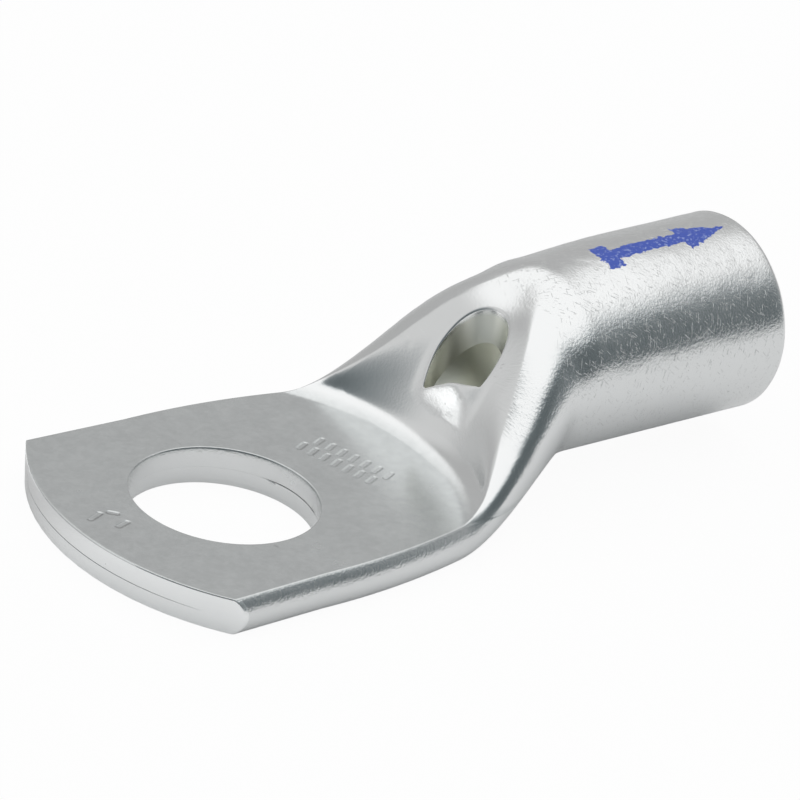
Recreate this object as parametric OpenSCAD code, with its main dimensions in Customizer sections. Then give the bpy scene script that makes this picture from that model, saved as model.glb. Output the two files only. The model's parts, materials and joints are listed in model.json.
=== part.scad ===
// Crimping lug for a 50 mm2 stranded conductor and an M12 stud.
// One length of copper tube: the barrel keeps the tube's round section,
// the neck and palm are the same tube pressed shut between two tools.
// Frame: Z up through the stud hole, X along the lug towards the mouth,
// origin on the stud hole's axis at the palm's underside.

/* [Barrel] */
// Outside diameter of the tube
barrel_od = 13.8; // [12.6:0.1:15]
// Inside diameter of the tube, for the conductor
bore_d = 10; // [8.8:0.1:10.8]
// Stud hole's axis to the barrel's mouth
mouth_reach = 42.9; // [38:0.1:60]
// Height of the barrel's underside over the palm's underside
barrel_lift = 1.1; // [0.5:0.1:2]
// Bevel on the mouth's outer edge
mouth_bevel = 0.4; // [0.1:0.05:0.7]
// Bevel on the mouth's inner edge
bore_bevel = 0.45; // [0.1:0.05:0.8]

/* [Palm] */
// Thickness of the pressed palm, both layers together
palm_t = 2.76; // [2.3:0.02:3.2]
// Width across the palm at the stud hole
palm_w = 23.6; // [22.4:0.1:27]
// Extra width at the tip, where the metal spreads
tip_spread = 0.9; // [0:0.1:1.2]
// Stud hole's axis to the middle of the tip
tip_reach = 12.2; // [10.5:0.1:15]
// Radius of the sheared tip
tip_r = 18.2; // [15:0.1:30]
// How far the shear leans back at the underside
tip_lean = 0.32; // [0.1:0.02:0.6]
// Stud hole's diameter
stud_d = 13; // [10.5:0.1:14]

/* [Neck] */
// Radius of the sweep that draws the palm's sides in to the barrel
side_sweep_r = 54; // [44:1:60]
// Where that sweep leaves the palm's straight side
side_sweep_x = 1; // [0:0.5:3]
// Where the folded sides begin to rise
rise_start = 12.8; // [11.5:0.1:14]
// Where the section is round again
rise_end = 26.4; // [25:0.1:29]
// Radius of the upper tool's round end, about the stud hole
punch_r = 16.1; // [15:0.1:17]
// Fillet at the foot of the step that the upper tool leaves
punch_fillet = 2; // [1.5:0.1:2.4]
// Slope at which the fillet leaves the palm, so that the step's foot shows as a line
punch_tilt = 10; // [4:1:14]
// Slope of the step above its fillet, from level
punch_slope = 77; // [73:1:81]
// How far the top wall sags between its folds
sag = 0.2; // [0:0.05:0.5]
// How far the top sinks below a plain sweep where it settles into the barrel
settle = 0.45; // [0:0.05:0.6]
// How far it swells above a plain sweep before that
swell = 0.4; // [0:0.05:0.5]
// Where the hollow begins to open, past the step's foot
hollow_start = 17.2; // [16.9:0.1:17.8]
// How soon the hollow opens: 1 is steadily, more is sooner
hollow_power = 1.5; // [1.2:0.1:2]

/* [Inspection hole] */
// Diameter of the hole that shows the conductor's end
sight_d = 5; // [4:0.1:5.4]
// Stud hole's axis to the inspection hole's axis
sight_x = 19.7; // [19.4:0.1:20.6]
// The hole's axis to the straight side that the pressing gave it
sight_flat = 1.1; // [0.9:0.1:1.9]
// Turn of that straight side, as it was pressed
sight_skew = 11; // [0:1:20]

/* [Seam] */
// Gap left between the two pressed layers
seam_gap = 0.1; // [0.06:0.01:0.2]
// Height of the seam's middle over the palm's underside
seam_z = 1.25; // [1.1:0.05:1.6]
// Solid metal in each fold, beside the seam
seam_edge = 2.4; // [1.8:0.1:3.2]

/* [Hidden] */
$fn = 96;

barrel_r = barrel_od / 2;
bore_r = bore_d / 2;
wall = barrel_r - bore_r;
barrel_z = barrel_lift + barrel_r;

// The pressed layers stand this proud on top and underneath before the tools' flats cut them
squeeze = 0.48;
under_squeeze = 0.44;
// The loft stays this far inside the round tube's skin where they overlap
inset = 0.02;
// The loft reaches this far into the tube, and past the tip
overlap = 1.2;
// The exact bore and the exact round skin start this far past the neck's end
bore_margin = 0.4;
round_margin = 7.6;
// The tools and cutters reach this far past what they cut
clear = 5;

// Radius of the folds along the palm, before the tools' flats cut them
fold_r = (palm_t + squeeze + under_squeeze) / 2;
round_start = rise_end + round_margin;
bore_start = rise_end + bore_margin;
loft_start = -tip_reach - overlap;
loft_end = round_start + overlap;

// Rounding where the swept sides meet the barrel, and the stretch in which it fades
sweep_soft = 0.3;
sweep_fade = 3;
// Where the sag starts and begins to fade, and the stretch that either takes
sag_from = 14;
sag_to = 23;
sag_fade = 3;
// Middle and half length of the stretch that sinks, and of the one that swells
settle_x = 26;
settle_len = 4.2;
swell_x = 21.2;
swell_len = 2.4;

// Points round a section, and steps along the skin, the barrel, the hollow, the seam and the fillet
ring_n = 48;
skin_steps = 30;
barrel_steps = 5;
hollow_steps = 14;
seam_steps = 3;
fillet_steps = 8;

// Share of the section's half turn that the flat top takes up
flat_share = 0.25;
// Gathers the points of a section towards its top and underside
gather = 11;

function clamp(v) = min(1, max(0, v));
function ease(u) = let(v = clamp(u)) v * v * (3 - 2 * v);
function mix(a, b, s) = a + (b - a) * s;
function soft_max(a, b, soft) = (a + b + sqrt((a - b) * (a - b) + soft * soft)) / 2;

// Half width of the outer skin: straight sides, then the sweep, then the tube
function half_w(x) =
    let(run = max(0, x - side_sweep_x),
        swept = palm_w / 2 - run * run / (2 * side_sweep_r),
        spread = max(0, -x) / tip_reach * tip_spread / 2)
    x > rise_end ? barrel_r - inset
        : soft_max(swept, barrel_r - inset, sweep_soft * ease((rise_end - x) / sweep_fade)) + spread;

// Radius of the folded sides, from the palm's edge up to the whole tube
function fold(x) = mix(fold_r, barrel_r - inset, ease((x - rise_start) / (rise_end - rise_start)));

// Underside of the outer skin
function under(x) = mix(-under_squeeze, barrel_lift + inset, ease((x - rise_start) / (rise_end - rise_start)));

function bump(u) = exp(-u * u);

// How far the top lies under a plain sweep of the section
function settled(x) = settle * bump((x - settle_x) / settle_len) - swell * bump((x - swell_x) / swell_len);

// Height of the top wall over its folds, which is less than none where it sags
function relief(x) = -sag * ease((x - sag_from) / sag_fade) * (1 - ease((x - sag_to) / sag_fade));

// How far the hollow has opened, from 0 at the step to 1 in the bore
function opened(x) =
    1 - pow(1 - clamp((x - hollow_start) / (rise_end - hollow_start)), hollow_power);

function hollow_r(x) = mix(seam_gap / 2, bore_r - inset, opened(x));
function hollow_w(x) = half_w(x) - mix(seam_edge, wall, opened(x));
function hollow_under(x) = mix(seam_z - seam_gap / 2, barrel_lift + wall + inset, opened(x));

// Sideways place of a point on a flattened ring, from -1 on one fold to 1 on the other
function across(c) = sign(c) * sin(90 * min(1, abs(c) / flat_share));

// One flattened ring: half width w, fold radius r, underside z. On top it has the relief h
// between the folds, and sinks by the given amount.
// Its fullness is 1 for flat layers between round folds, 0 for a plain slit.
function ring(x, w, r, z, h, sinks, fullness) = [
    for (i = [0:ring_n - 1])
        let(turn = -360 * i / ring_n,
            a = turn + gather * sin(2 * turn),
            s = mix(cos(a), across(cos(a)), fullness),
            on_top = max(0, sin(a)),
            change = on_top > 0 ? h * (1 - s * s) - sinks * on_top : 0)
        [x, (w - r) * s + r * cos(a), z + r + r * sin(a) + change]
];

function outer_ring(x) = ring(x, half_w(x), fold(x), under(x), relief(x), settled(x), 1);
function inner_ring(x) = ring(x, hollow_w(x), hollow_r(x), hollow_under(x), 0, 0, opened(x));

// Stations along X: out along the outer skin, then back along the hollow
outer_x = concat([loft_start],
    [for (i = [0:skin_steps]) mix(side_sweep_x, rise_end, i / skin_steps)],
    [for (i = [1:barrel_steps]) mix(rise_end, loft_end, i / barrel_steps)]);
inner_x = concat([loft_end],
    [for (i = [hollow_steps:-1:0]) mix(hollow_start, rise_end, i / hollow_steps)],
    [for (i = [seam_steps - 1:-1:0]) mix(side_sweep_x, hollow_start, i / seam_steps)],
    [loft_start]);

// The flattened tube from past the tip to inside the barrel, with its hollow.
// The rings close on themselves, so the two ends are the only flat walls.
module pressed_tube() {
    rings = concat([for (x = outer_x) outer_ring(x)], [for (x = inner_x) inner_ring(x)]);
    count = len(rings);
    faces = [
        for (j = [0:count - 1])
            for (i = [0:ring_n - 1])
                let(k = (i + 1) % ring_n, m = (j + 1) % count)
                each [
                    [j * ring_n + i, j * ring_n + k, m * ring_n + k],
                    [j * ring_n + i, m * ring_n + k, m * ring_n + i]
                ]
    ];
    polyhedron(points = [for (r = rings) each r], faces = faces);
}

// The stretch that keeps the tube's round skin, bevelled at the mouth
module round_skin() {
    length = mouth_reach - round_start;
    translate([round_start, 0, barrel_z])
        rotate([0, 90, 0])
            rotate_extrude()
                polygon([
                    [0, 0],
                    [barrel_r, 0],
                    [barrel_r, length - mouth_bevel],
                    [barrel_r - mouth_bevel, length],
                    [0, length]
                ]);
}

// The bore from the neck's end to the mouth, with its bevel
module bore() {
    length = mouth_reach - bore_start;
    translate([bore_start, 0, barrel_z])
        rotate([0, 90, 0])
            rotate_extrude()
                polygon([
                    [0, 0],
                    [bore_r, 0],
                    [bore_r, length - bore_bevel],
                    [bore_r + bore_bevel + clear, length + clear],
                    [0, length + clear]
                ]);
}

// Upper tool: a flat round end with a filleted foot and a steep side
module upper_tool() {
    top = barrel_z + barrel_r + clear;
    foot = [for (i = [0:fillet_steps]) let(a = mix(punch_tilt, punch_slope, i / fillet_steps))
        [punch_r + punch_fillet * (sin(a) - sin(punch_tilt)),
            palm_t + punch_fillet * (cos(punch_tilt) - cos(a))]];
    rim = foot[fillet_steps][0] + (top - foot[fillet_steps][1]) / tan(punch_slope);
    rotate_extrude()
        polygon(concat([[0, palm_t]], foot, [[rim, top], [0, top]]));
}

// Lower tool: the flat that the underside is pressed on
module lower_tool() {
    reach = mouth_reach + tip_reach;
    translate([-reach, -reach / 2, -clear])
        cube([2 * reach, reach, clear]);
}

// What the shear leaves: everything inside the tip's arc
module sheared_tip() {
    centre = tip_r - tip_reach;
    keep = mouth_reach + clear;
    lean = tip_lean * clear / palm_t;
    translate([centre, 0, -clear])
        cylinder(h = palm_t + 2 * clear, r1 = tip_r - tip_lean - lean, r2 = tip_r + lean);
    translate([centre, -palm_w, -clear])
        cube([keep, 2 * palm_w, barrel_z + barrel_r + 2 * clear]);
}

// Stud hole through both layers
module stud_hole() {
    translate([0, 0, -clear])
        cylinder(h = palm_t + 2 * clear, d = stud_d);
}

// Inspection hole through the top wall into the hollow: round, with one straight side
module sight_hole() {
    flat_x = sight_x - sight_flat;
    floor_z = hollow_under(flat_x) + hollow_r(flat_x);
    height = barrel_z + barrel_r + clear - floor_z;
    translate([sight_x, 0, floor_z])
        intersection() {
            cylinder(h = height, d = sight_d);
            rotate([0, 0, sight_skew])
                translate([-sight_flat, -sight_d, 0])
                    cube([2 * sight_d, 2 * sight_d, height]);
        }
}

module lug() {
    color("silver")
        difference() {
            union() {
                intersection() {
                    pressed_tube();
                    sheared_tip();
                }
                round_skin();
            }
            bore();
            upper_tool();
            lower_tool();
            stud_hole();
            sight_hole();
        }
}

lug();
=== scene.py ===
# The crimping lug's looks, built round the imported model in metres. Shapes are worked out in millimetres.
import json
import math

import bmesh
import bpy
import numpy as np
from mathutils import Matrix, Vector


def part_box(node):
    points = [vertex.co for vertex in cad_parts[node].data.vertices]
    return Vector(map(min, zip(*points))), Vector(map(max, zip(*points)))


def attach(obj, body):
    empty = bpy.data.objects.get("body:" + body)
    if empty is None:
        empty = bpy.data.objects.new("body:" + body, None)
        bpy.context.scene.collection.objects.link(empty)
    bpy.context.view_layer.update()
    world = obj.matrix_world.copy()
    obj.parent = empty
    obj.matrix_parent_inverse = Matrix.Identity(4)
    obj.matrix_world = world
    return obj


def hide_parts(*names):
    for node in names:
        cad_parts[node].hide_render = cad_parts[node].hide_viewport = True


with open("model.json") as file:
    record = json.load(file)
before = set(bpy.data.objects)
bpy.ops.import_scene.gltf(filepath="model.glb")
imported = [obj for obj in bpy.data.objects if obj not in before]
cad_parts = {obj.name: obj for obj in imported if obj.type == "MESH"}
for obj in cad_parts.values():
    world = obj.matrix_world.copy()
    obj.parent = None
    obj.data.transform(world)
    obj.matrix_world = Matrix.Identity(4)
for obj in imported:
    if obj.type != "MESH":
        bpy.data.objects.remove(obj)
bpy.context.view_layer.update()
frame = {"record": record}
bpy.context.scene.view_settings.view_transform = "Standard"
mm = 0.001
mounts = {m["name"]: m for m in frame["record"]["mounts"]}
lugLow, lugHigh = (np.array(corner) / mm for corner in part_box("lug"))
print("stage: packed model loaded")

# Sizes of the pressed tube. The frame gives the reach, the palm's thickness, the holes and the barrel's top
tube = {
    "palmT": mounts["stud_hole"]["dims"]["length_mm"],
    "studR": mounts["stud_hole"]["dims"]["r_mm"],
    "boreR": mounts["barrel_bore"]["dims"]["r_mm"],
    "tipReach": -lugLow[0],
    "mouthX": lugHigh[0],
    "lift": 1.1,
    "palmHalf": 11.79,
    "tipSpread": 0.44,
    "tipR": 18.2,
    "tipLean": 0.32,
    "sweepR": 54.0,
    "sweepX": 1.0,
    "sweepSoft": 0.3,
    "riseStart": 12.8,
    "riseEnd": 26.4,
    "sweepEnds": 3.0,
    "squeeze": 0.48,
    "underSqueeze": 0.44,
    "flatShare": 0.25,
    "tipBevel": 0.1,
    "tipTurned": -5.0,
    "mouthRound": 0.4,
    "innerBevel": 0.45,
    "settle": 0.45,
    "settleX": 26.0,
    "settleLen": 4.2,
    "swell": 0.39,
    "swellX": 21.2,
    "swellLen": 2.4,
}
tube["barrelR"] = (lugHigh[2] - tube["lift"]) / 2
tube["barrelZ"] = tube["lift"] + tube["barrelR"]

# The upper tool's round end, and what it leaves between the folds
press = {
    "punchR": 16.1,
    "fillet": 2.0,
    "startTilt": 10.0,
    "slope": 68.5,
    "steepSlope": 77.0,
    "steepFrom": 5.0,
    "steepHalf": 0.9,
    "steepFade": 2.4,
    "blend": 0.8,
    "middleBlend": 0.3,
    "middle": 1.2,
    "middleFade": 1.6,
    "flatBlend": 0.02,
    "blendFrom": 13.5,
    "blendLen": 3.5,
    "sag": 0.38,
    "sagFrom": 14.0,
    "sagTo": 23.0,
    "sagFade": 3.0,
}

# The inspection hole, drilled straight down into the hollow
sight = {
    "x": 19.66,
    "r": 2.52,
    "chord": 0.42,
    "chordSkew": 11.0,
    "chordSoft": 0.15,
    "reach": 0.6,
    "round": 0.14,
    "innerReach": 0.3,
    "innerRing": 0.15,
    "innerRound": 0.08,
    "columns": 144,
    "wallRows": 6,
}

# The stud hole's rims, and the burr that the drill leaves on them
stud = {"reach": 0.5, "ring": 0.25, "bevel": 0.06, "burr": 0.05, "columns": 192}

# The seam between the pressed layers, and the hollow that it opens into
seam = {
    "z": 1.25,
    "gap": 0.05,
    "edge": 2.4,
    "openX": 17.2,
    "power": 1.5,
    "lastRing": -6.9,
    "slitAt": -8.0,
    "showsFrom": 30.0,
    "showsTo": 14.0,
    "least": 0.08,
    "deep": 0.03,
}

# Dents and waves that the tumbling left on the skin, and where it could reach
knocks = {
    "density": 180000.0,
    "radius": 0.45,
    "depth": 0.018,
    "waveSize": 2.6,
    "waveDepth": 0.035,
    "above": 3.2,
    "full": 5.2,
    "wallFrom": 18.6,
    "wallSoft": 1.2,
    "faceHalf": 3.0,
    "faceSoft": 1.6,
    "faceTo": 22.4,
    "seed": 4,
}

# How finely the surfaces are divided: points round a ring, and stretches of rings with their steps
mesh = {
    "topFlat": 90,
    "topFold": 42,
    "underFlat": 20,
    "underFold": 34,
    "hollow": 96,
    "tipRings": 22,
    "tipPower": 1.3,
    "palmEnd": 9.0,
    "palmStep": 0.5,
    "bendEnd": 15.8,
    "bendStep": 0.3,
    "pressedEnd": 19.5,
    "pressedStep": 0.06,
    "riseStep": 0.2,
    "barrelStep": 0.25,
    "barrelEnd": 0.6,
    "boreStep": 1.0,
    "taperStep": 0.25,
    "seamStep": 0.8,
}


def ease(u):
    v = np.clip(u, 0, 1)
    return v * v * (3 - 2 * v)


def mix(a, b, share):
    return a + (b - a) * share


def softMin(a, b, blend):
    gap = np.maximum(blend - np.abs(a - b), 0)
    return np.minimum(a, b) - gap * gap / (4 * blend)


def halfWidth(x):
    run = np.maximum(0, x - tube["sweepX"])
    swept = tube["palmHalf"] - run * run / (2 * tube["sweepR"])
    spread = np.maximum(0, -x) / tube["tipReach"] * tube["tipSpread"]
    soft = tube["sweepSoft"] * ease((tube["riseEnd"] - x) / tube["sweepEnds"])
    joined = (swept + tube["barrelR"] + np.sqrt((swept - tube["barrelR"]) ** 2 + soft * soft)) / 2
    return np.where(x > tube["riseEnd"], tube["barrelR"], joined) + spread


def risen(x):
    return ease((x - tube["riseStart"]) / (tube["riseEnd"] - tube["riseStart"]))


def foldRadius(x):
    pressed = (tube["palmT"] + tube["squeeze"] + tube["underSqueeze"]) / 2
    return mix(pressed, tube["barrelR"], risen(x))


# How far the neck's top lies under a plain sweep: it settles into the barrel and swells before it
def settled(x):
    sinks = tube["settle"] * np.exp(-(((x - tube["settleX"]) / tube["settleLen"]) ** 2))
    return sinks - tube["swell"] * np.exp(-(((x - tube["swellX"]) / tube["swellLen"]) ** 2))


def underside(x):
    return mix(-tube["underSqueeze"], tube["lift"], risen(x))


def acrossFlat(c):
    return np.sign(c) * np.sin(math.pi / 2 * np.minimum(1, np.abs(c) / tube["flatShare"]))


# Height that the top wall has over its folds, which is less than none where it sags between them
def relief(x, y, share):
    fade = press["sagFade"]
    along = ease((x - press["sagFrom"]) / fade) * (1 - ease((x - press["sagTo"]) / fade))
    return -press["sag"] * along * (1 - share * share)


# Height of the upper tool's surface, which nothing under it passes
def toolHeight(x, y):
    out = np.hypot(x, y) - press["punchR"]
    start, slope = math.radians(press["startTilt"]), math.radians(press["slope"])
    r = press["fillet"]
    footX = r * (math.sin(slope) - math.sin(start))
    sine = math.sin(start) + np.clip(out, 0, footX) / r
    onFillet = r * (math.cos(start) - np.sqrt(1 - sine * sine))
    wall = tube["palmT"] + onFillet + np.maximum(0, out - footX) * math.tan(slope)
    # under the inspection hole the wall's upper part is pressed steeper
    footZ = tube["palmT"] + r * (math.cos(start) - math.cos(slope))
    steepX = footX + (press["steepFrom"] - footZ) / math.tan(slope)
    steep = press["steepFrom"] + (out - steepX) * math.tan(math.radians(press["steepSlope"]))
    beside = ease((np.abs(y) - press["steepHalf"]) / press["steepFade"])
    return mix(np.maximum(wall, steep), wall, beside)


# A point of the outer skin at ring angle turn, whose cosine is c
def skinPoint(x, c, s):
    w, r = halfWidth(x), foldRadius(x)
    share = acrossFlat(c)
    y = (w - r) * share + r * c
    z = underside(x) + r + r * s
    beside = ease((np.abs(y) - press["middle"]) / press["middleFade"])
    soft = mix(press["middleBlend"], press["blend"], beside)
    soft = mix(press["flatBlend"], soft, ease((x - press["blendFrom"]) / press["blendLen"]))
    top = softMin(z + relief(x, y, share) - settled(x) * s, toolHeight(x, y), soft)
    z = np.where(s > 0, top, np.maximum(z, 0))
    return y, z


# Height of the top skin over a place in plan, found by halving the range of c
def skinHeight(x, y):
    w, r = halfWidth(x), foldRadius(x)
    low, high = -np.ones_like(y), np.ones_like(y)
    for _ in range(40):
        c = (low + high) / 2
        under = (w - r) * acrossFlat(c) + r * c < y
        low, high = np.where(under, c, low), np.where(under, high, c)
    c = (low + high) / 2
    return skinPoint(x, c, np.sqrt(1 - c * c))[1]


def opened(x):
    u = np.clip((x - seam["openX"]) / (tube["riseEnd"] - seam["openX"]), 0, 1)
    return 1 - (1 - u) ** seam["power"]


# A point of the hollow's surface, or of the seam's
def hollowPoint(x, c, s):
    o = opened(x)
    r = mix(seam["gap"] / 2, tube["boreR"], o)
    w = halfWidth(x) - mix(seam["edge"], tube["barrelR"] - tube["boreR"], o)
    share = mix(c, acrossFlat(c), o)
    floor = mix(seam["z"] - seam["gap"] / 2, tube["barrelZ"] - tube["boreR"], o)
    return (w - r) * share + r * c, floor + r + r * s


def hollowHeight(x, y):
    o = opened(x)
    r = mix(seam["gap"] / 2, tube["boreR"], o)
    w = halfWidth(x) - mix(seam["edge"], tube["barrelR"] - tube["boreR"], o)
    low, high = -np.ones_like(y), np.ones_like(y)
    for _ in range(40):
        c = (low + high) / 2
        under = (w - r) * mix(c, acrossFlat(c), o) + r * c < y
        low, high = np.where(under, c, low), np.where(under, high, c)
    c = (low + high) / 2
    return hollowPoint(x, c, np.sqrt(1 - c * c))[1]


# 1 where the skin was tumbled after pressing, 0 on what the tools pressed flat
def tumbledAt(x, y, z):
    wall = ease((np.hypot(x, y) - knocks["wallFrom"]) / knocks["wallSoft"])
    face = (1 - ease((np.abs(y) - knocks["faceHalf"]) / knocks["faceSoft"]))
    face = face * (1 - ease((x - knocks["faceTo"]) / knocks["faceSoft"])) * ease(z - tube["palmT"])
    return ease((z - knocks["above"]) / (knocks["full"] - knocks["above"])) * wall * (1 - face)


# Collects vertices in rings, and joins the rings with faces
class Surface:
    def __init__(self):
        self.points = []
        self.inner = []
        self.faces = []

    # inner tells the skin, 0, from the hollow, 1
    def ring(self, x, y, z, inner=0.0):
        first = len(self.points)
        x, y, z = np.broadcast_arrays(x, y, z)
        self.points.extend(zip(x.tolist(), y.tolist(), z.tolist()))
        self.inner.extend([inner] * len(x))
        return list(range(first, len(self.points)))

    # quads between rings of equal length, except where skip says so
    def loft(self, rings, skip=None):
        count = len(rings[0])
        for j in range(len(rings) - 1):
            for i in range(count):
                k = (i + 1) % count
                quad = (rings[j][i], rings[j][k], rings[j + 1][k], rings[j + 1][i])
                if skip is None or not skip(quad):
                    self.faces.append(quad)

    # the closed line of edges round the quads that skip leaves out
    def rimOf(self, rings, skip):
        count = len(rings[0])
        inside = {}
        for j in range(len(rings) - 1):
            for i in range(count):
                k = (i + 1) % count
                quad = (rings[j][i], rings[j][k], rings[j + 1][k], rings[j + 1][i])
                if skip(quad):
                    for a, b in zip(quad, quad[1:] + quad[:1]):
                        inside[(a, b)] = True
        ahead = {a: b for a, b in inside if (b, a) not in inside}
        start = next(iter(ahead))
        line = [start]
        while ahead[line[-1]] != start:
            line.append(ahead[line[-1]])
        return line

    # triangles between two closed lines of different lengths, matched by angle
    def zip(self, lineA, anglesA, lineB, anglesB):
        lineA, anglesA = forwards(lineA, anglesA)
        lineB, anglesB = forwards(lineB, anglesB)
        turns = (np.array(anglesB) - anglesA[0]) % (2 * math.pi)
        shift = int(np.argmin(turns))
        lineB = lineB[shift:] + lineB[:shift]
        turnsB = rising(np.roll(turns, -shift))
        turnsA = rising((np.array(anglesA) - anglesA[0]) % (2 * math.pi))
        i = j = 0
        while i < len(lineA) or j < len(lineB):
            nextA = turnsA[i + 1] if i + 1 < len(lineA) else 2 * math.pi + turnsA[0]
            nextB = turnsB[j + 1] if j + 1 < len(lineB) else 2 * math.pi + turnsB[0]
            a, b = lineA[i % len(lineA)], lineB[j % len(lineB)]
            if j == len(lineB) or (i < len(lineA) and nextA <= nextB):
                self.faces.append((a, lineA[(i + 1) % len(lineA)], b))
                i += 1
            else:
                self.faces.append((a, lineB[(j + 1) % len(lineB)], b))
                j += 1

    def anglesRound(self, line, cx, cy, axes=(0, 1)):
        at = np.array([self.points[v] for v in line])
        return np.arctan2(at[:, axes[1]] - cy, at[:, axes[0]] - cx)

    def build(self, name):
        data = bpy.data.meshes.new(name)
        data.from_pydata([(x * mm, y * mm, z * mm) for x, y, z in self.points], [], self.faces)
        data.attributes.new("inner", "FLOAT", "POINT").data.foreach_set("value", self.inner)
        free = tumbledAt(*np.array(self.points).T) * (1 - np.array(self.inner))
        data.attributes.new("tumbled", "FLOAT", "POINT").data.foreach_set("value", free)
        made = bpy.data.objects.new(name, data)
        bpy.context.scene.collection.objects.link(made)
        return made


# The line and its angles, turned to run anticlockwise
def forwards(line, angles):
    steps = (np.diff(np.append(angles, angles[0])) + math.pi) % (2 * math.pi) - math.pi
    if steps.sum() < 0:
        return list(line[::-1]), list(angles[::-1])
    return list(line), list(angles)


# Angles of a closed line as a rising series, where a step back counts as none
def rising(angles):
    angles = np.array(angles)
    if len(angles) > 1 and angles[0] > math.pi:
        angles[0] = 0
    late = angles[: len(angles) // 3] > 1.5 * math.pi
    angles[: len(angles) // 3][late] -= 2 * math.pi
    return np.maximum.accumulate(angles)


# Cosines and sines of the ring's points, with more of them on the flat top than on the folds
def ringTurns():
    edge = math.acos(tube["flatShare"])
    parts = [
        np.linspace(0, edge, mesh["topFold"], endpoint=False),
        np.linspace(edge, math.pi - edge, mesh["topFlat"], endpoint=False),
        np.linspace(math.pi - edge, math.pi, mesh["topFold"], endpoint=False),
        np.linspace(math.pi, math.pi + edge, mesh["underFold"], endpoint=False),
        np.linspace(math.pi + edge, 2 * math.pi - edge, mesh["underFlat"], endpoint=False),
        np.linspace(2 * math.pi - edge, 2 * math.pi, mesh["underFold"], endpoint=False),
    ]
    turn = np.concatenate(parts)
    return turn, np.cos(turn), np.sin(turn)


# Even steps from a to b of about the given size, without b
def steps(a, b, size):
    return np.linspace(a, b, max(1, round(abs(b - a) / size)), endpoint=False)


# Where the sheared tip lies, which leans back towards the underside
def tipX(y, z):
    centre = tube["tipR"] - tube["tipReach"]
    r = tube["tipR"] - tube["tipLean"] * (1 - z / tube["palmT"])
    return centre - np.sqrt(r * r - y * y)


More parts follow.
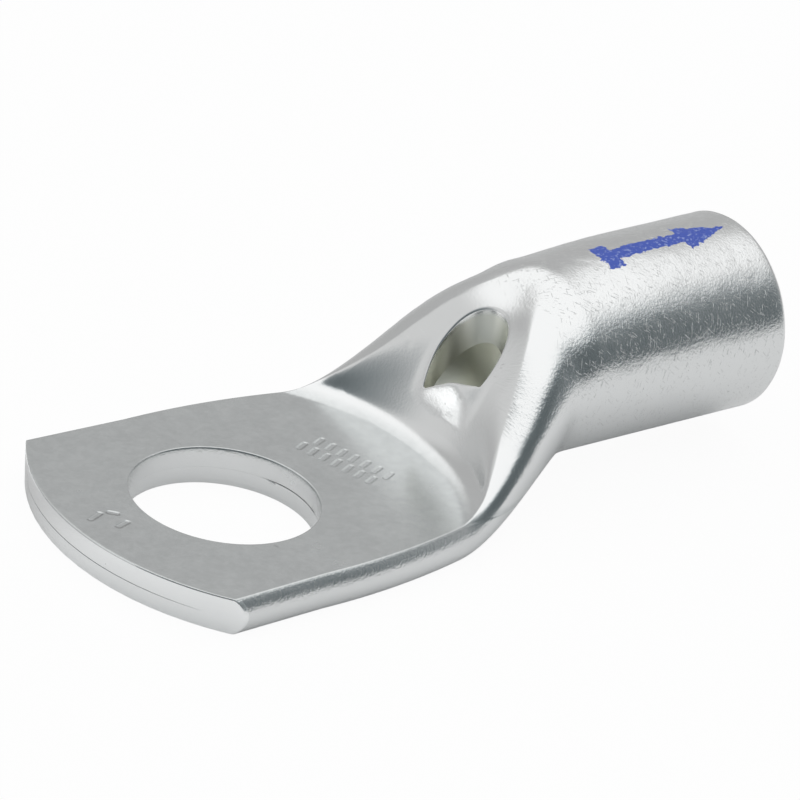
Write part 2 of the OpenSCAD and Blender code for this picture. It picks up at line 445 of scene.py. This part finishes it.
def makeLug():
    surface = Surface()
    turn, c, s = ringTurns()
    pi2 = 2 * math.pi

    # outer skin: tip rings that turn from the sheared arc into straight ones, then the rest
    outer = []
    for share in np.linspace(0, 1, mesh["tipRings"], endpoint=False) ** mesh["tipPower"]:
        x = np.full_like(c, -tube["tipReach"])
        for _ in range(4):
            y, z = skinPoint(x, c, s)
            x = mix(tipX(y, z) + tube["tipBevel"], tube["tipTurned"], share)
        y, z = skinPoint(x, c, s)
        if share == 0:
            tipRim = (x, y, z)
        outer.append(surface.ring(x, y, z))
    stations = np.concatenate([
        steps(tube["tipTurned"], mesh["palmEnd"], mesh["palmStep"]),
        steps(mesh["palmEnd"], mesh["bendEnd"], mesh["bendStep"]),
        steps(mesh["bendEnd"], mesh["pressedEnd"], mesh["pressedStep"]),
        steps(mesh["pressedEnd"], tube["riseEnd"] + 1, mesh["riseStep"]),
        steps(tube["riseEnd"] + 1, tube["mouthX"] - mesh["barrelEnd"], mesh["barrelStep"]),
    ])
    for x in stations:
        x = np.full_like(c, x)
        y, z = skinPoint(x, c, s)
        outer.append(surface.ring(x, y, z))
    # rounded mouth edge and flat end face
    for turnDown in np.linspace(0, math.pi / 2, 7):
        r = tube["barrelR"] - tube["mouthRound"] * (1 - math.cos(turnDown))
        x = tube["mouthX"] - tube["mouthRound"] * (1 - math.sin(turnDown))
        outer.append(surface.ring(x, r * c, tube["barrelZ"] + r * s))

    # the hollow: from the mouth's inner bevel back to the tip's seam
    hollowTurn = np.linspace(0, pi2, mesh["hollow"], endpoint=False)
    hc, hs = np.cos(hollowTurn), np.sin(hollowTurn)
    inner = []
    for share in (0, 0.5, 1):
        r = tube["boreR"] + tube["innerBevel"] * (1 - share)
        x = tube["mouthX"] - tube["innerBevel"] * share
        inner.append(surface.ring(x, r * hc, tube["barrelZ"] + r * hs, share))
    innerStations = np.concatenate([
        steps(tube["mouthX"] - tube["innerBevel"] - 0.5, tube["riseEnd"] + 0.5, mesh["boreStep"]),
        steps(tube["riseEnd"] + 0.5, seam["openX"], mesh["taperStep"]),
        steps(seam["openX"], seam["lastRing"], mesh["seamStep"]),
    ])
    for x in innerStations:
        x = np.full_like(hc, x)
        y, z = hollowPoint(x, hc, hs)
        inner.append(surface.ring(x, y, z, 1.0))
    for share in (0.5, 1):
        y, z = hollowPoint(np.full_like(hc, seam["slitAt"]), hc, hs)
        inner.append(surface.ring(mix(seam["lastRing"], tipX(y, z), share), y, z))

    # places left out for the two holes
    topOuter = {v for line in outer for v, up in zip(line, s >= 0) if up}
    topInner = {v for line in inner for v, up in zip(line, hs >= 0) if up}
    underOuter = {v for line in outer for v, up in zip(line, s <= 0) if up}
    underInner = {v for line in inner for v, up in zip(line, hs <= 0) if up}

    # the points of some rings that lie over a hole, whose radius may differ with the angle
    def over(members, cx, radius):
        line = sorted(members)
        at = np.array([surface.points[v] for v in line])
        far, phi = np.hypot(at[:, 0] - cx, at[:, 1]), np.arctan2(at[:, 1], at[:, 0] - cx)
        return {v for v, within in zip(line, far < radius(phi)) if within}

    def hole(cx, radius, members):
        inside = over(members, cx, radius)
        return lambda quad: all(v in members for v in quad) and any(v in inside for v in quad)

    def studRadius(phi):
        return tube["studR"] + stud["reach"]

    def sightOuter(phi):
        return sightRadius(phi) + sight["reach"]

    def sightInner(phi):
        return sightRadius(phi) + sight["innerReach"]

    cuts = {
        "studTop": (outer, hole(0, studRadius, topOuter)),
        "studUnder": (outer, hole(0, studRadius, underOuter)),
        "seamTop": (inner, hole(0, studRadius, topInner)),
        "seamUnder": (inner, hole(0, studRadius, underInner)),
        "sightTop": (outer, hole(sight["x"], sightOuter, topOuter)),
        "sightInner": (inner, hole(sight["x"], sightInner, topInner)),
    }
    for rings in (outer, inner):
        own = [skip for on, skip in cuts.values() if on is rings]
        surface.loft(rings, lambda quad: any(skip(quad) for skip in own))
    rims = {name: surface.rimOf(rings, skip) for name, (rings, skip) in cuts.items()}

    # mouth face and tip face
    surface.zip(outer[-1], turn, inner[0], hollowTurn)
    x, y, z = tipRim
    middle = tube["palmT"] / 2
    tipFace = [outer[0]]
    for turnIn in np.linspace(0, math.pi / 2, 4)[1:]:
        inset = tube["tipBevel"] * (1 - math.cos(turnIn))
        inY, inZ = y * (1 - inset / tube["palmHalf"]), middle + (z - middle) * (1 - inset / middle)
        tipFace.append(surface.ring(tipX(inY, inZ) + tube["tipBevel"] * (1 - math.sin(turnIn)), inY, inZ))
    slitHalf = halfWidth(seam["slitAt"]) - seam["edge"]
    slitY = np.clip(y, -slitHalf, slitHalf)
    slitRise = seam["gap"] / 2 * np.sqrt(1 - (slitY / slitHalf) ** 2)
    slitZ = seam["z"] + np.where(s >= 0, slitRise, -slitRise)
    for share in (0.5, 1):
        faceY, faceZ = mix(inY, slitY, share), mix(inZ, slitZ, share)
        tipFace.append(surface.ring(tipX(faceY, faceZ), faceY, faceZ))
    surface.loft(tipFace)
    slitTurn = np.arccos(slitY / slitHalf)
    surface.zip(tipFace[-1], np.where(s >= 0, slitTurn, -slitTurn) % pi2, inner[-1], hollowTurn)

    # stud hole, as rings from the top's rim to the seam, and from the underside's rim to the seam
    phi = np.linspace(0, pi2, stud["columns"], endpoint=False)
    turned = np.degrees(np.abs(np.arctan2(np.sin(phi), np.cos(phi))))
    shows = ease((seam["showsFrom"] - turned) / (seam["showsFrom"] - seam["showsTo"]))
    shows = mix(seam["least"], 1, shows)
    sides = (("studTop", "seamTop", tube["palmT"], -1), ("studUnder", "seamUnder", 0, 1))
    for sideName, seamName, faceZ, into in sides:
        seamZ = seam["z"] - into * seam["gap"] / 2 * shows
        profile = [
            (stud["ring"], 0),
            (stud["bevel"] + stud["burr"], 0),
            (stud["bevel"], 0),
            (stud["bevel"] * 0.3, into * stud["bevel"] * 0.3),
            (0, into * stud["bevel"]),
        ]
        rings = []
        for out, dz in profile:
            r = tube["studR"] + out
            rings.append(surface.ring(r * np.cos(phi), r * np.sin(phi), faceZ + dz))
        wallStart = faceZ + into * stud["bevel"]
        for share in (0.33, 0.66, 0.97, 1):
            r = tube["studR"] + (seam["deep"] * shows if share == 1 else 0)
            rings.append(surface.ring(r * np.cos(phi), r * np.sin(phi), mix(wallStart, seamZ, share)))
        surface.loft(rings)
        surface.zip(rims[sideName], surface.anglesRound(rims[sideName], 0, 0), rings[0], phi)
        surface.zip(rims[seamName], surface.anglesRound(rims[seamName], 0, 0), rings[-1], phi)

    # inspection hole: rings on the skin, a rounded rim, the wall, and rings on the hollow's ceiling
    phi = np.linspace(0, pi2, sight["columns"], endpoint=False)
    cosPhi, sinPhi = np.cos(phi), np.sin(phi)
    holeR = sightRadius(phi)
    rings = []
    for out, drop in holeRim():
        r = holeR + out
        x, y = sight["x"] + r * cosPhi, r * sinPhi
        rings.append(surface.ring(x, y, skinHeight(x, y) - drop))
    wallX, wallY = sight["x"] + holeR * cosPhi, holeR * sinPhi
    wallTop = skinHeight(wallX, wallY) - sight["round"]
    wallFoot = hollowHeight(wallX, wallY) + sight["innerRound"]
    for share in np.linspace(0, 1, sight["wallRows"] + 1)[1:]:
        rings.append(surface.ring(wallX, wallY, mix(wallTop, wallFoot, share), 1.0))
    for out in (sight["innerRound"], sight["innerRing"]):
        r = holeR + out
        x, y = sight["x"] + r * cosPhi, r * sinPhi
        rings.append(surface.ring(x, y, hollowHeight(x, y), 1.0))
    surface.loft(rings)
    surface.zip(rims["sightTop"], surface.anglesRound(rims["sightTop"], sight["x"], 0), rings[0], phi)
    surface.zip(rims["sightInner"], surface.anglesRound(rims["sightInner"], sight["x"], 0), rings[-1], phi)

    return surface.build("lugBody")


# Radius of the inspection hole at an angle: round, but straight along its edge next to the palm
def sightRadius(phi):
    toChord = -np.cos(phi - math.radians(sight["chordSkew"]))
    limit = np.where(toChord > 0.05, sight["chord"] * sight["r"] / np.maximum(toChord, 0.05), 99.0)
    return softMin(np.full_like(phi, sight["r"]), limit, sight["chordSoft"])


# How far out from the hole's wall, and how far under the skin, each ring of its rim lies
def holeRim():
    rim = [(sight["reach"] * 0.7, 0), (sight["reach"] * 0.45, 0), (sight["reach"] * 0.3, 0)]
    for turnIn in np.linspace(0, math.pi / 2, 6):
        rim.append((sight["round"] * (1 - math.sin(turnIn)), sight["round"] * (1 - math.cos(turnIn))))
    return rim


def closeUp(piece):
    bm = bmesh.new()
    bm.from_mesh(piece.data)
    bmesh.ops.remove_doubles(bm, verts=bm.verts, dist=0.0005 * mm)
    bmesh.ops.dissolve_degenerate(bm, edges=bm.edges, dist=0.0002 * mm)
    open_ = [e for e in bm.edges if not e.is_manifold]
    print("open or crowded edges:", len(open_), "faces:", len(bm.faces))
    for e in open_[:6]:
        print("   at", [round(v / mm, 2) for v in e.verts[0].co], len(e.link_faces))
    bmesh.ops.recalc_face_normals(bm, faces=bm.faces)
    print("volume mm3:", round(bm.calc_volume() / mm ** 3, 1))
    for face in bm.faces:
        face.smooth = True
    for edge in bm.edges:
        if edge.is_manifold and edge.calc_face_angle(0) > math.radians(32):
            edge.smooth = False
    bm.to_mesh(piece.data)
    bm.free()


# The camera, fitted to the photo in a frame whose height starts at the palm's top
photoCamera = {
    "right": (0.7708, -0.6190, 0.1518),
    "up": (0.1895, 0.4500, 0.8729),
    "back": (-0.6086, -0.6438, 0.4639),
    "shiftRight": 11.70,
    "shiftUp": 6.373,
    "distance": 590.9,
    "lens": 399.6,
}


def makeCamera():
    right, up, back = (Vector(photoCamera[k]).normalized() for k in ("right", "up", "back"))
    place = right * photoCamera["shiftRight"] + up * photoCamera["shiftUp"] + back * photoCamera["distance"]
    place.z += tube["palmT"]
    data = bpy.data.cameras.new("photoCamera")
    data.sensor_width = 36
    data.lens = photoCamera["lens"]
    data.clip_start = 0.01
    data.clip_end = 20
    camera = bpy.data.objects.new("photoCamera", data)
    bpy.context.scene.collection.objects.link(camera)
    turned = Matrix((right, up, back)).transposed().to_4x4()
    camera.matrix_world = Matrix.Translation(place * mm) @ turned
    bpy.context.scene.camera = camera


# Wraps a node's output, so that shader maths reads as plain expressions
class Value:
    def __init__(self, tree, socket):
        self.tree = tree
        self.socket = socket

    def node(self, kind, settings=None, links=None, out=0):
        made = self.tree.nodes.new(kind)
        for name, value in (settings or {}).items():
            if name == "stops":
                ramp = made.color_ramp.elements
                while len(ramp) < len(value):
                    ramp.new(1)
                for stop, (at, colour) in zip(ramp, value):
                    stop.position, stop.color = at, colour
            else:
                setattr(made, name, value)
        for name, value in (links or {}).items():
            if isinstance(value, Value):
                self.tree.links.new(value.socket, made.inputs[name])
            else:
                made.inputs[name].default_value = value
        return Value(self.tree, made.outputs[out])

    def maths(self, operation, *others):
        links = {0: self}
        links.update({i + 1: other for i, other in enumerate(others)})
        return self.node("ShaderNodeMath", {"operation": operation}, links)

    def __add__(self, other):
        return self.maths("ADD", other)

    __radd__ = __add__

    def __mul__(self, other):
        return self.maths("MULTIPLY", other)

    __rmul__ = __mul__

    def __sub__(self, other):
        return self.maths("SUBTRACT", other)

    def __rsub__(self, other):
        return (self * -1) + other

    def __truediv__(self, other):
        return self.maths("DIVIDE", other)

    def __rtruediv__(self, other):
        return (self ** -1) * other

    def __pow__(self, other):
        return self.maths("POWER", other)

    def clamped(self):
        return self.maths("MAXIMUM", 0.0).maths("MINIMUM", 1.0)

    # 0 below low, 1 above high, smooth between
    def between(self, low, high):
        return self.node(
            "ShaderNodeMapRange",
            {"interpolation_type": "SMOOTHSTEP"},
            {"Value": self, "From Min": low, "From Max": high},
        )


# Light levels of the studio, by the direction that they come from, and of the floor in reflections, where a
# pool of painted light and painted shade round it are laid on the paper
studio = {
    "wall": 0.52,
    "box": 1.18,
    "boxFrom": 37.0,
    "boxTo": 47.5,
    "boxDrop": 9.0,
    "boxDropAt": 85.0,
    "boxDropHalf": 38.0,
    "boxRise": 7.0,
    "boxRiseAt": -40.0,
    "boxRiseHalf": 60.0,
    "dark": 0.145,
    "darkAt": -111.5,
    "darkHalf": 79.5,
    "darkSoft": 25.0,
    "panel": 0.76,
    "panelAt": 139.0,
    "panelHalf": 26.0,
    "panelSoft": 20.0,
    "floorColour": 0.93,
    "floorSeen": 0.95,
    "nearMirrored": 0.10,
    # painted shade on the paper past the palm's far side, which only reflections see
    "farMirrored": 0.55,
    "farLevel": 0.42,
    "farFrom": 0.0,
    "farTo": 14.0,
    "farLean": 0.3,
    # a painted pool of light on the floor, which only reflections see
    "poolX": -14.0,
    "poolY": 29.0,
    "poolReach": 15.5,
    "poolSoft": 6.0,
    "poolLevel": 1.65,
    "shade": (0.86, 1.0, 1.05, 1),
}


def makeStudio():
    world = bpy.data.worlds.new("studio")
    bpy.context.scene.world = world
    world.use_nodes = True
    tree = world.node_tree
    tree.nodes.clear()
    start = Value(tree, None)
    direction = start.node("ShaderNodeTexCoord", out="Generated")
    x, y, z = (start.node("ShaderNodeSeparateXYZ", links={0: direction}, out=i) for i in range(3))
    azimuth = y.maths("ARCTAN2", x)
    fromDrop = (azimuth - math.radians(studio["boxDropAt"])).maths("ABSOLUTE")
    drop = (1 - fromDrop.between(0, math.radians(studio["boxDropHalf"]))) * math.radians(studio["boxDrop"])
    lowEdge = (math.radians(studio["boxFrom"]) - drop).maths("SINE")
    fromRise = (azimuth - math.radians(studio["boxRiseAt"])).maths("ABSOLUTE")
    rise = (1 - fromRise.between(0, math.radians(studio["boxRiseHalf"]))) * math.radians(studio["boxRise"])
    highEdge = (math.radians(studio["boxTo"]) - drop + rise).maths("SINE")
    box = z.between(lowEdge, highEdge)
    off = (azimuth - math.radians(studio["darkAt"])).maths("COSINE").maths("ARCCOSINE")
    half, soft = math.radians(studio["darkHalf"]), math.radians(studio["darkSoft"])
    dark = 1 - off.between(half - soft, half + soft)
    fromPanel = (azimuth - math.radians(studio["panelAt"])).maths("ABSOLUTE")
    panelHalf, panelSoft = math.radians(studio["panelHalf"]), math.radians(studio["panelSoft"])
    panel = 1 - fromPanel.between(panelHalf - panelSoft, panelHalf)
    wall = studio["wall"] - dark * (studio["wall"] - studio["dark"])
    wall = wall + panel * (studio["panel"] - studio["wall"])
    level = wall + box * (studio["box"] - wall)
    rays = start.node("ShaderNodeLightPath", out="Is Camera Ray")
    seen = level + rays * (1 - level)
    bluish = dark * (1 - box) * (1 - rays)
    tint = start.node("ShaderNodeMix", {"data_type": "RGBA"}, {"Factor": bluish}, out=2)
    tint.socket.node.inputs[6].default_value = (1, 1, 1, 1)
    tint.socket.node.inputs[7].default_value = studio["shade"]
    background = start.node("ShaderNodeBackground", links={"Color": tint, "Strength": seen})
    out = tree.nodes.new("ShaderNodeOutputWorld")
    tree.links.new(background.socket, out.inputs["Surface"])


def makeFloor():
    bm = bmesh.new()
    bmesh.ops.create_circle(bm, cap_ends=True, radius=6, segments=64)
    data = bpy.data.meshes.new("floor")
    bm.to_mesh(data)
    bm.free()
    floor = bpy.data.objects.new("floor", data)
    bpy.context.scene.collection.objects.link(floor)
    material = bpy.data.materials.new("floorPaper")
    material.use_nodes = True
    tree = material.node_tree
    tree.nodes.clear()
    start = Value(tree, None)
    paper = start.node("ShaderNodeBsdfDiffuse", links={"Color": (studio["floorColour"],) * 3 + (1,)})
    camera = start.node("ShaderNodeLightPath", out="Is Camera Ray")
    glossy = start.node("ShaderNodeLightPath", out="Is Glossy Ray")
    # only reflections see a painted pool of light past the palm's far side, and painted shade on the paper
    # round it
    place = start.node("ShaderNodeTexCoord", out="Object")
    fromPaintedPool = start.node(
        "ShaderNodeVectorMath",
        {"operation": "DISTANCE"},
        {0: place, 1: (studio["poolX"] * mm, studio["poolY"] * mm, 0)},
        out=1,
    )
    x, y = (start.node("ShaderNodeSeparateXYZ", links={0: place}, out=i) for i in range(2))
    # painted shade: past a line beyond the palm's far side, reflections see the paper dimmer
    far = (y - x * studio["farLean"]).between(studio["farFrom"] * mm, studio["farTo"] * mm)
    plainShare = studio["nearMirrored"] + far * (studio["farMirrored"] - studio["nearMirrored"])
    reach = studio["poolReach"] * mm
    paintedPool = 1 - fromPaintedPool.between(reach - studio["poolSoft"] * mm, reach)
    mirrored = glossy * plainShare.maths("MAXIMUM", paintedPool)
    share = (camera * studio["floorSeen"]).maths("MAXIMUM", mirrored)
    # the white's strength for glossy rays: raised in the painted pool of light, lowered in the painted
    # shade
    change = paintedPool * (studio["poolLevel"] - 1) + far * (1 - paintedPool) * (studio["farLevel"] - 1)
    whiteAndPaintedLight = start.node("ShaderNodeEmission", links={"Strength": 1 + glossy * change})
    mixed = start.node("ShaderNodeMixShader", links={0: share, 1: paper, 2: whiteAndPaintedLight})
    out = tree.nodes.new("ShaderNodeOutputMaterial")
    tree.links.new(mixed.socket, out.inputs["Surface"])
    data.materials.append(material)


# The printed arrow, along the barrel's top and a little to one side: reach along x, half widths, edge, wear
printed = {
    "tail": 30.1,
    "stem": 31.4,
    "head": 37.3,
    "tip": 41.3,
    "middle": 0.4,
    "tailHalf": 1.4,
    "stemHalf": 0.62,
    "headHalf": 1.45,
    "ragged": 0.85,
    "raggedSize": 2.2,
    "overlap": 0.1,
    "edgeSoft": 0.06,
    "gloss": 0.1,
    "rough": 0.2,
    "colour": (0.042, 0.098, 0.52, 1),
    "worn": (0.30, 0.38, 0.74, 1),
    "wornSize": 4.2,
    "wornFrom": 0.54,
    "wornFull": 0.70,
}

# The tin plate: satin on the palm, whose top is coloured darker as painted shade, tumbled and speckled on
# the barrel, dull in the hollow, which is coloured lighter as painted light like the sheared tip face
tin = {
    "colour": (0.77, 0.78, 0.78, 1),
    "pressed": (0.62, 0.64, 0.64, 1),
    "pressedPale": (0.68, 0.70, 0.70, 1),
    "mottleSize": 1.3,
    "mottleSpread": 0.2,
    "sheared": (0.92, 0.93, 0.93, 1),
    "shearedDeep": 0.4,
    "dull": (0.92, 0.93, 0.86, 1),
    "palmRough": 0.25,
    "faceRough": 0.17,
    "barrelRough": 0.18,
    "dullRough": 0.38,
    "cloudSize": 0.35,
    "cloudRough": 0.12,
    "speckleAlong": 6.0,
    "speckleRound": 4.4,
    "speckleDepth": 0.024,
    "grainSize": 5.0,
    "grainDepth": 0.006,
    "frostDepth": 0.024,
    "nickLong": 0.9,
    "nickThin": 9.0,
    "nickLean": 0.3,
    "nickFrom": 0.66,
    "nickFull": 0.76,
    "nickDepth": 0.020,
    "nicksFrom": 21.0,
    "nicksFull": 26.0,
}


# Heights from the palm's top between which each finish fades in, and the palm top's painted shade with it
fades = {"palmUnder": (-0.3, -0.1), "palmOver": (-0.03, 0.5), "face": (0.1, 0.6), "frost": (-0.15, -0.02)}

# Plain strokes pressed into the palm: two rows beside the stud hole, and a group at the tip
pressedMarks = {
    "x": 9.2,
    "y": 3.3,
    "rows": 2,
    "rowGap": 1.5,
    "columns": 7,
    "columnGap": 0.95,
    "shear": 0.25,
    "half": 0.42,
    "wide": 0.28,
    "tilt": 24.0,
    "depth": 0.14,
    "tip": (
        (-10.0, 1.2, 20.0, 0.55, 0.3),
        (-8.6, 1.1, -45.0, 0.25, 0.3),
        (-8.9, -0.4, 15.0, 0.45, 0.3),
    ),
}


def makeTin():
    material = bpy.data.materials.new("tinPlate")
    material.use_nodes = True
    tree = material.node_tree
    shader = tree.nodes["Principled BSDF"]
    start = Value(tree, None)
    place = start.node("ShaderNodeTexCoord", out="Object")
    inMm = start.node("ShaderNodeVectorMath", {"operation": "SCALE"}, {0: place, "Scale": 1 / mm})
    x, y, z = (start.node("ShaderNodeSeparateXYZ", links={0: inMm}, out=i) for i in range(3))
    inner = start.node("ShaderNodeAttribute", {"attribute_name": "inner"}, out="Fac")
    round_ = (y * -1).maths("ARCTAN2", z - tube["barrelZ"]) * tube["barrelR"]

    tumbled = start.node("ShaderNodeAttribute", {"attribute_name": "tumbled"}, out="Fac")

    def noise(at, scale, detail=2.0, rough=0.5):
        links = {"Vector": at, "Scale": scale, "Detail": detail, "Roughness": rough}
        return start.node("ShaderNodeTexNoise", links=links)

    def vector(a, b, c):
        return start.node("ShaderNodeCombineXYZ", links={0: a, 1: b, 2: c})

    unrolled = vector(x * tin["speckleAlong"], round_ * tin["speckleRound"], 0.0)
    speckle = noise(unrolled, 1.0, detail=3.0, rough=0.6)
    grain = noise(inMm, tin["grainSize"], detail=3.0, rough=0.6)
    cloud = noise(inMm, tin["cloudSize"], detail=3.0)

    # short nicks in two directions: the peaks of noises that are drawn out along them
    def nicksAlong(a, b, place):
        drawn = noise(vector(a * tin["nickLong"], b * tin["nickThin"], place), 1.0, detail=1.0)
        return drawn.between(tin["nickFrom"], tin["nickFull"])

    nicks = nicksAlong(x + round_, x - round_, 3.0)
    lean = tin["nickLean"]
    nicks = nicks.maths("MAXIMUM", nicksAlong(x * lean - round_, x + round_ * lean, 7.0))
    nicks = nicks * tumbled * x.between(tin["nicksFrom"], tin["nicksFull"])

    # the print's outline: its half width at each place along the barrel
    edge = (noise(inMm, printed["raggedSize"], detail=3.0, rough=0.6) - 0.5) * printed["ragged"]
    across = (round_ - printed["middle"]).maths("ABSOLUTE") + edge
    along = x + edge

    def reaching(low, high):
        return along.maths("GREATER_THAN", low) * along.maths("LESS_THAN", high)

    onTail = reaching(printed["tail"], printed["stem"])
    onStem = reaching(printed["stem"] - printed["overlap"], printed["head"] + printed["overlap"])
    onHead = reaching(printed["head"], printed["tip"])
    taper = (printed["tip"] - x) * (1 / (printed["tip"] - printed["head"]))
    half = (onTail * printed["tailHalf"]).maths("MAXIMUM", onStem * printed["stemHalf"])
    half = half.maths("MAXIMUM", onHead * taper * printed["headHalf"])
    ink = (half - across).between(0.0, printed["edgeSoft"]) * z.maths("GREATER_THAN", tube["barrelZ"])
    ink = ink * half.maths("GREATER_THAN", 0.01)
    wear = noise(inMm, printed["wornSize"], rough=0.6).between(printed["wornFrom"], printed["wornFull"])

    def blend(share, a, b):
        made = start.node("ShaderNodeMix", {"data_type": "RGBA"}, {"Factor": share}, out=2)
        for socket, colour in ((6, a), (7, b)):
            if isinstance(colour, Value):
                tree.links.new(colour.socket, made.socket.node.inputs[socket])
            else:
                made.socket.node.inputs[socket].default_value = colour
        return made

    def above(name):
        low, high = fades[name]
        return z.between(tube["palmT"] + low, tube["palmT"] + high)

    onPalm = (1 - above("palmOver")) * above("palmUnder")
    spread = tin["mottleSpread"]
    mottle = noise(inMm, tin["mottleSize"], detail=5.0, rough=0.75).between(0.5 - spread, 0.5 + spread)
    # painted shade: the palm's top is coloured darker than the rest of the tin, with a random mottle of its
    # own tone over it
    plate = blend(onPalm, tin["colour"], blend(mottle, tin["pressed"], tin["pressedPale"]))
    # painted light: the sheared end face at the tip is coloured lighter than the tin
    fromTipCentre = x + (tube["tipReach"] - tube["tipR"])
    tipFar = (fromTipCentre * fromTipCentre + y * y).maths("SQRT") * x.maths("LESS_THAN", 0.0)
    onTip = tipFar.maths("GREATER_THAN", tube["tipR"] - tin["shearedDeep"])
    onTip = onTip * z.maths("LESS_THAN", tube["palmT"] - tube["tipBevel"])
    plate = blend(onTip, plate, tin["sheared"])
    # painted light: the hollow and the inspection hole's wall are coloured lighter than the tin, over a
    # slightly yellow tone of their own
    metal = blend(inner, plate, tin["dull"])
    colour = blend(ink, metal, blend(wear, printed["colour"], printed["worn"]))
    tree.links.new(colour.socket, shader.inputs["Base Color"])
    tree.links.new((1 - ink * (1 - printed["gloss"])).socket, shader.inputs["Metallic"])
    rough = tin["palmRough"] - above("face") * (tin["palmRough"] - tin["faceRough"])
    rough = rough + tumbled * (tin["barrelRough"] - rough)
    rough = rough + inner * (tin["dullRough"] - rough) + (cloud - 0.5) * tin["cloudRough"]
    rough = rough + ink * printed["rough"]
    tree.links.new(rough.clamped().socket, shader.inputs["Roughness"])

    # rows of short pressed strokes beside the stud hole, and a few at the tip
    def stroke(cx, cy, turned, half, wide, x=x, y=y):
        cosine, sine = math.cos(math.radians(turned)), math.sin(math.radians(turned))
        alongIt = ((x - cx) * cosine + (y - cy) * sine).maths("ABSOLUTE") - half
        acrossIt = (x - cx) * -sine + (y - cy) * cosine
        outside = alongIt.maths("MAXIMUM", 0.0)
        far = (outside * outside + acrossIt * acrossIt).maths("SQRT")
        return 1 - far.between(wide * 0.4, wide)

    marks = stroke(*pressedMarks["tip"][0])
    for placed in pressedMarks["tip"][1:]:
        marks = marks.maths("MAXIMUM", stroke(*placed))
    # one stroke stands for the rows: each place is moved back by the column and row it is nearest to
    column = ((pressedMarks["y"] - y) / pressedMarks["columnGap"]).maths("ROUND")
    column = column.maths("MAXIMUM", 0.0).maths("MINIMUM", pressedMarks["columns"] - 1.0)
    inColumn = x - column * pressedMarks["shear"]
    row = ((inColumn - pressedMarks["x"]) / pressedMarks["rowGap"]).maths("ROUND")
    row = row.maths("MAXIMUM", 0.0).maths("MINIMUM", pressedMarks["rows"] - 1.0)
    placed = (pressedMarks[k] for k in ("x", "y", "tilt", "half", "wide"))
    moved = (inColumn - row * pressedMarks["rowGap"], y + column * pressedMarks["columnGap"])
    marks = marks.maths("MAXIMUM", stroke(*placed, *moved)) * onPalm

    # the sides and the sheared tip are more frosted than the palm's top
    frost = (1 - above("frost")) * (1 - tumbled) * (1 - inner) * tin["frostDepth"] + tin["grainDepth"]
    height = speckle * tumbled * tin["speckleDepth"] + grain * frost
    height = height - marks * pressedMarks["depth"]
    height = height - nicks * tin["nickDepth"]
    bump = start.node("ShaderNodeBump", links={"Strength": 1.0, "Distance": mm, "Height": height})
    tree.links.new(bump.socket, shader.inputs["Normal"])
    return material


# Dents at scattered points and a slow wave, pushed into the skin where it was tumbled
def tumbleTree():
    tree = bpy.data.node_groups.new("tumbledSkin", "GeometryNodeTree")
    tree.interface.new_socket("Geometry", in_out="INPUT", socket_type="NodeSocketGeometry")
    for name in ("Dents per Square Metre", "Dent Radius", "Dent Depth", "Wave Size", "Wave Depth"):
        tree.interface.new_socket(name, in_out="INPUT", socket_type="NodeSocketFloat")
    tree.interface.new_socket("Seed", in_out="INPUT", socket_type="NodeSocketInt")
    tree.interface.new_socket("Material", in_out="INPUT", socket_type="NodeSocketMaterial")
    tree.interface.new_socket("Geometry", in_out="OUTPUT", socket_type="NodeSocketGeometry")
    given = tree.nodes.new("NodeGroupInput")
    start = Value(tree, None)

    def take(name):
        return Value(tree, given.outputs[name])

    free = start.node("GeometryNodeInputNamedAttribute", {"data_type": "FLOAT"}, {"Name": "tumbled"})
    points = start.node("GeometryNodeDistributePointsOnFaces", links={
        "Mesh": take("Geometry"), "Density": take("Dents per Square Metre") * free, "Seed": take("Seed")})
    near = start.node("GeometryNodeProximity", {"target_element": "POINTS"}, {0: points}, out="Distance")
    dent = (1 - near.between(0.0, take("Dent Radius"))) * take("Dent Depth")
    noise = start.node("ShaderNodeTexNoise", links={"Scale": 1 / take("Wave Size"), "Detail": 1.0})
    wave = (noise - 0.5) * 2 * take("Wave Depth")
    normal = start.node("GeometryNodeInputNormal")
    far = (wave - dent) * free
    push = start.node("ShaderNodeVectorMath", {"operation": "SCALE"}, {0: normal, "Scale": far})
    moved = start.node("GeometryNodeSetPosition", links={"Geometry": take("Geometry"), "Offset": push})
    plain = start.node("GeometryNodeRealizeInstances", links={0: moved})
    done = start.node("GeometryNodeSetMaterial", links={"Geometry": plain, "Material": take("Material")})
    result = tree.nodes.new("NodeGroupOutput")
    tree.links.new(done.socket, result.inputs["Geometry"])
    return tree


# Runs the tree on a piece, and keeps the result as its plain mesh
def tumble(piece, material):
    tree = tumbleTree()
    modifier = piece.modifiers.new("tumble", "NODES")
    modifier.node_group = tree
    values = {
        "Dents per Square Metre": knocks["density"],
        "Dent Radius": knocks["radius"] * mm,
        "Dent Depth": knocks["depth"] * mm,
        "Wave Size": knocks["waveSize"] * mm,
        "Wave Depth": knocks["waveDepth"] * mm,
        "Seed": knocks["seed"],
        "Material": material,
    }
    for item in tree.interface.items_tree:
        if item.in_out == "INPUT" and item.name in values:
            modifier[item.identifier] = values[item.name]
    evaluated = piece.evaluated_get(bpy.context.evaluated_depsgraph_get())
    made = bpy.data.meshes.new_from_object(evaluated)
    piece.modifiers.remove(modifier)
    piece.data = made


makeCamera()
makeStudio()
makeFloor()
print("stage: camera, floor and light made")

lug = makeLug()
closeUp(lug)
tumble(lug, makeTin())
print("stage: lug pressed and drilled")

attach(lug, "root")
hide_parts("lug")
